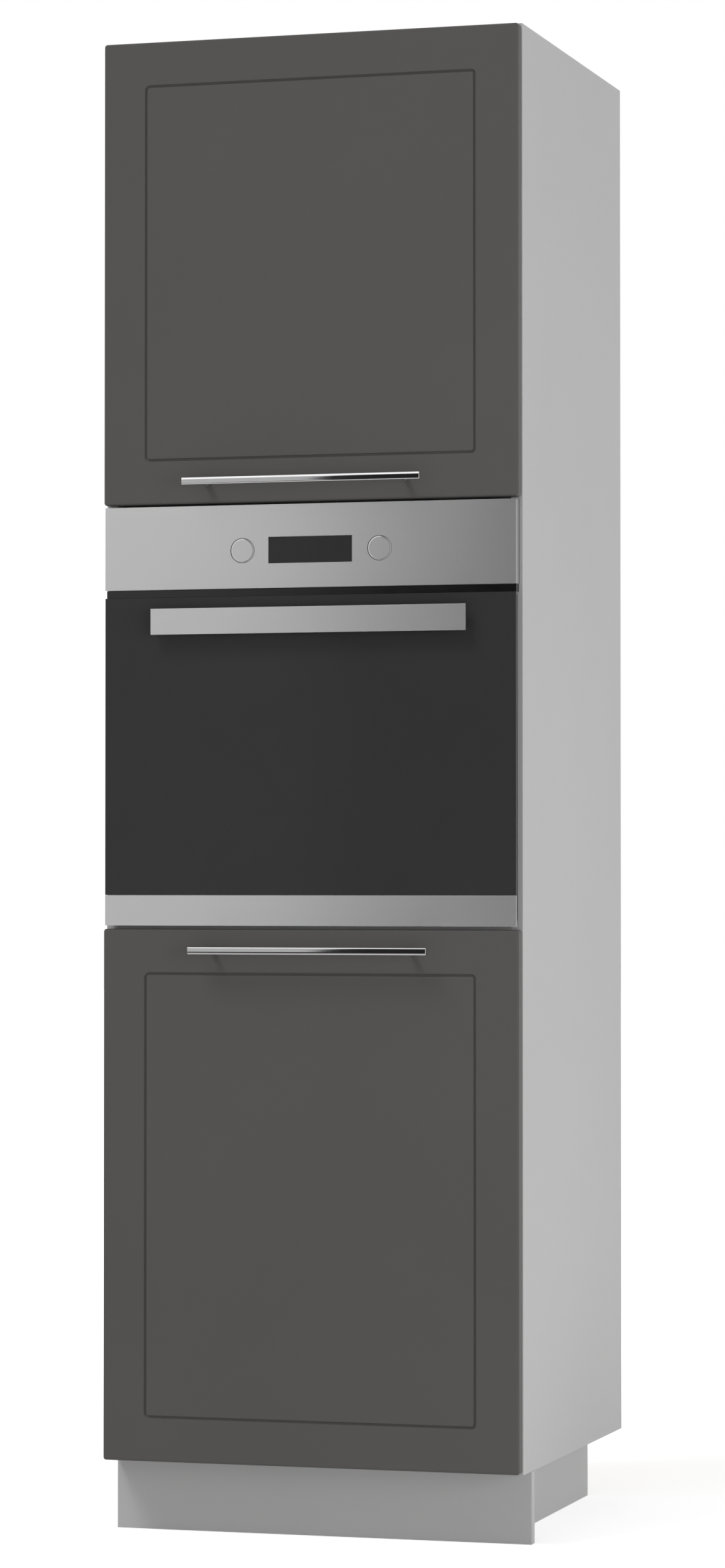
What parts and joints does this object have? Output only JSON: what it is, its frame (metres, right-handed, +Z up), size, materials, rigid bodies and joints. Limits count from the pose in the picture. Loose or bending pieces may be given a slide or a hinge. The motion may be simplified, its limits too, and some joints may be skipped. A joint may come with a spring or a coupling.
{
  "type": "tall oven housing unit",
  "caption": "Tall kitchen unit with a cupboard above and below a built-in oven, hinged grooved doors, bar handles, adjustable legs and a plinth.",
  "frame": {"origin": "on the floor, in the middle of the unit's bounding box in X and Y", "axes": "+Z up; the doors, oven and handles face -Y; +X to the right as seen from the front"},
  "size_m": [0.6, 0.618, 2.078],
  "materials": {
    "carcass_board": "light grey melamine-faced board",
    "back_board": "thin white-faced fibreboard",
    "plinth_board": "grey laminate",
    "door_board": "matt graphite film on milled fibreboard",
    "chrome": "polished chrome plating",
    "steel": "brushed stainless steel",
    "black_glass": "polished black glass",
    "black_plastic": "matt black",
    "zinc_steel": "zinc or nickel plated steel",
    "enamel": "dark speckled vitreous enamel",
    "leg_plastic": "moulded black plastic",
    "seal_rubber": "silicone rubber"
  },
  "bodies": {
    "housing": {"side_panel_left": "carcass_board", "side_panel_right": "carcass_board", "top_panel": "carcass_board", "oven_top_shelf": "carcass_board", "oven_shelf": "carcass_board", "bottom_panel": "carcass_board", "back_board_upper": "back_board", "back_board_lower": "back_board", "upper_shelf": "carcass_board", "lower_shelf": "carcass_board", "upper_shelf_pin_front_left": "zinc_steel", "upper_shelf_pin_rear_left": "zinc_steel", "upper_shelf_pin_front_right": "zinc_steel", "upper_shelf_pin_rear_right": "zinc_steel", "lower_shelf_pin_front_left": "zinc_steel", "lower_shelf_pin_rear_left": "zinc_steel", "lower_shelf_pin_front_right": "zinc_steel", "lower_shelf_pin_rear_right": "zinc_steel", "leg_front_left": "leg_plastic", "leg_front_right": "leg_plastic", "leg_rear_left": "leg_plastic", "leg_rear_right": "leg_plastic", "plinth_front": "plinth_board", "plinth_left": "plinth_board", "plinth_right": "plinth_board", "upper_hinge_arm_low": "zinc_steel", "upper_hinge_arm_high": "zinc_steel", "lower_hinge_arm_low": "zinc_steel", "lower_hinge_arm_high": "zinc_steel", "control_panel": "steel", "control_display": "black_glass", "oven_hinge_left": "zinc_steel", "oven_hinge_right": "zinc_steel", "oven_casing": "zinc_steel", "oven_vent_strip": "black_plastic", "oven_cavity": "enamel", "oven_door_seal": "seal_rubber", "oven_rack": "chrome", "oven_fan_cover": "enamel"},
    "upper_cupboard_door": {"upper_door": "door_board", "upper_handle_bar": "chrome", "upper_handle_post_left": "chrome", "upper_handle_post_right": "chrome", "upper_hinge_cup_low": "zinc_steel", "upper_hinge_cup_high": "zinc_steel"},
    "lower_cupboard_door": {"lower_door": "door_board", "lower_handle_bar": "chrome", "lower_handle_post_left": "chrome", "lower_handle_post_right": "chrome", "lower_hinge_cup_low": "zinc_steel", "lower_hinge_cup_high": "zinc_steel"},
    "oven_door": {"oven_door_glass": "black_glass", "oven_door_trim": "steel", "oven_door_frame": "black_plastic", "oven_door_inner_glass": "black_glass", "oven_handle": "steel"},
    "left_knob_carrier": {"knob_carrier_left": "black_plastic"},
    "left_knob": {"knob_left": "steel"},
    "right_knob_carrier": {"knob_carrier_right": "black_plastic"},
    "right_knob": {"knob_right": "steel"}
  },
  "joints": [
    {"name": "upper_door_swing", "type": "hinge", "parent": "housing", "child": "upper_cupboard_door", "pos_m": [-0.2934, -0.273, 1.753], "axis": [0, 0, -1], "range_deg": [0, 95]},
    {"name": "lower_door_swing", "type": "hinge", "parent": "housing", "child": "lower_cupboard_door", "pos_m": [-0.2934, -0.273, 0.471], "axis": [0, 0, -1], "range_deg": [0, 95]},
    {"name": "oven_door_drop", "type": "hinge", "parent": "housing", "child": "oven_door", "pos_m": [0, -0.272, 0.855], "axis": [1, 0, 0], "range_deg": [0, 90]},
    {"name": "left_knob_slide", "type": "slide", "parent": "housing", "child": "left_knob_carrier", "axis": [0, -1, 0], "range_m": [-0.0015, 0.013]},
    {"name": "left_knob_turn", "type": "hinge", "parent": "left_knob_carrier", "child": "left_knob", "pos_m": [-0.09495, -0.281, 1.3633], "axis": [0, -1, 0], "continuous": true},
    {"name": "right_knob_slide", "type": "slide", "parent": "housing", "child": "right_knob_carrier", "axis": [0, -1, 0], "range_m": [-0.0015, 0.013]},
    {"name": "right_knob_turn", "type": "hinge", "parent": "right_knob_carrier", "child": "right_knob", "pos_m": [0.10255, -0.281, 1.3633], "axis": [0, -1, 0], "continuous": true}
  ]
}
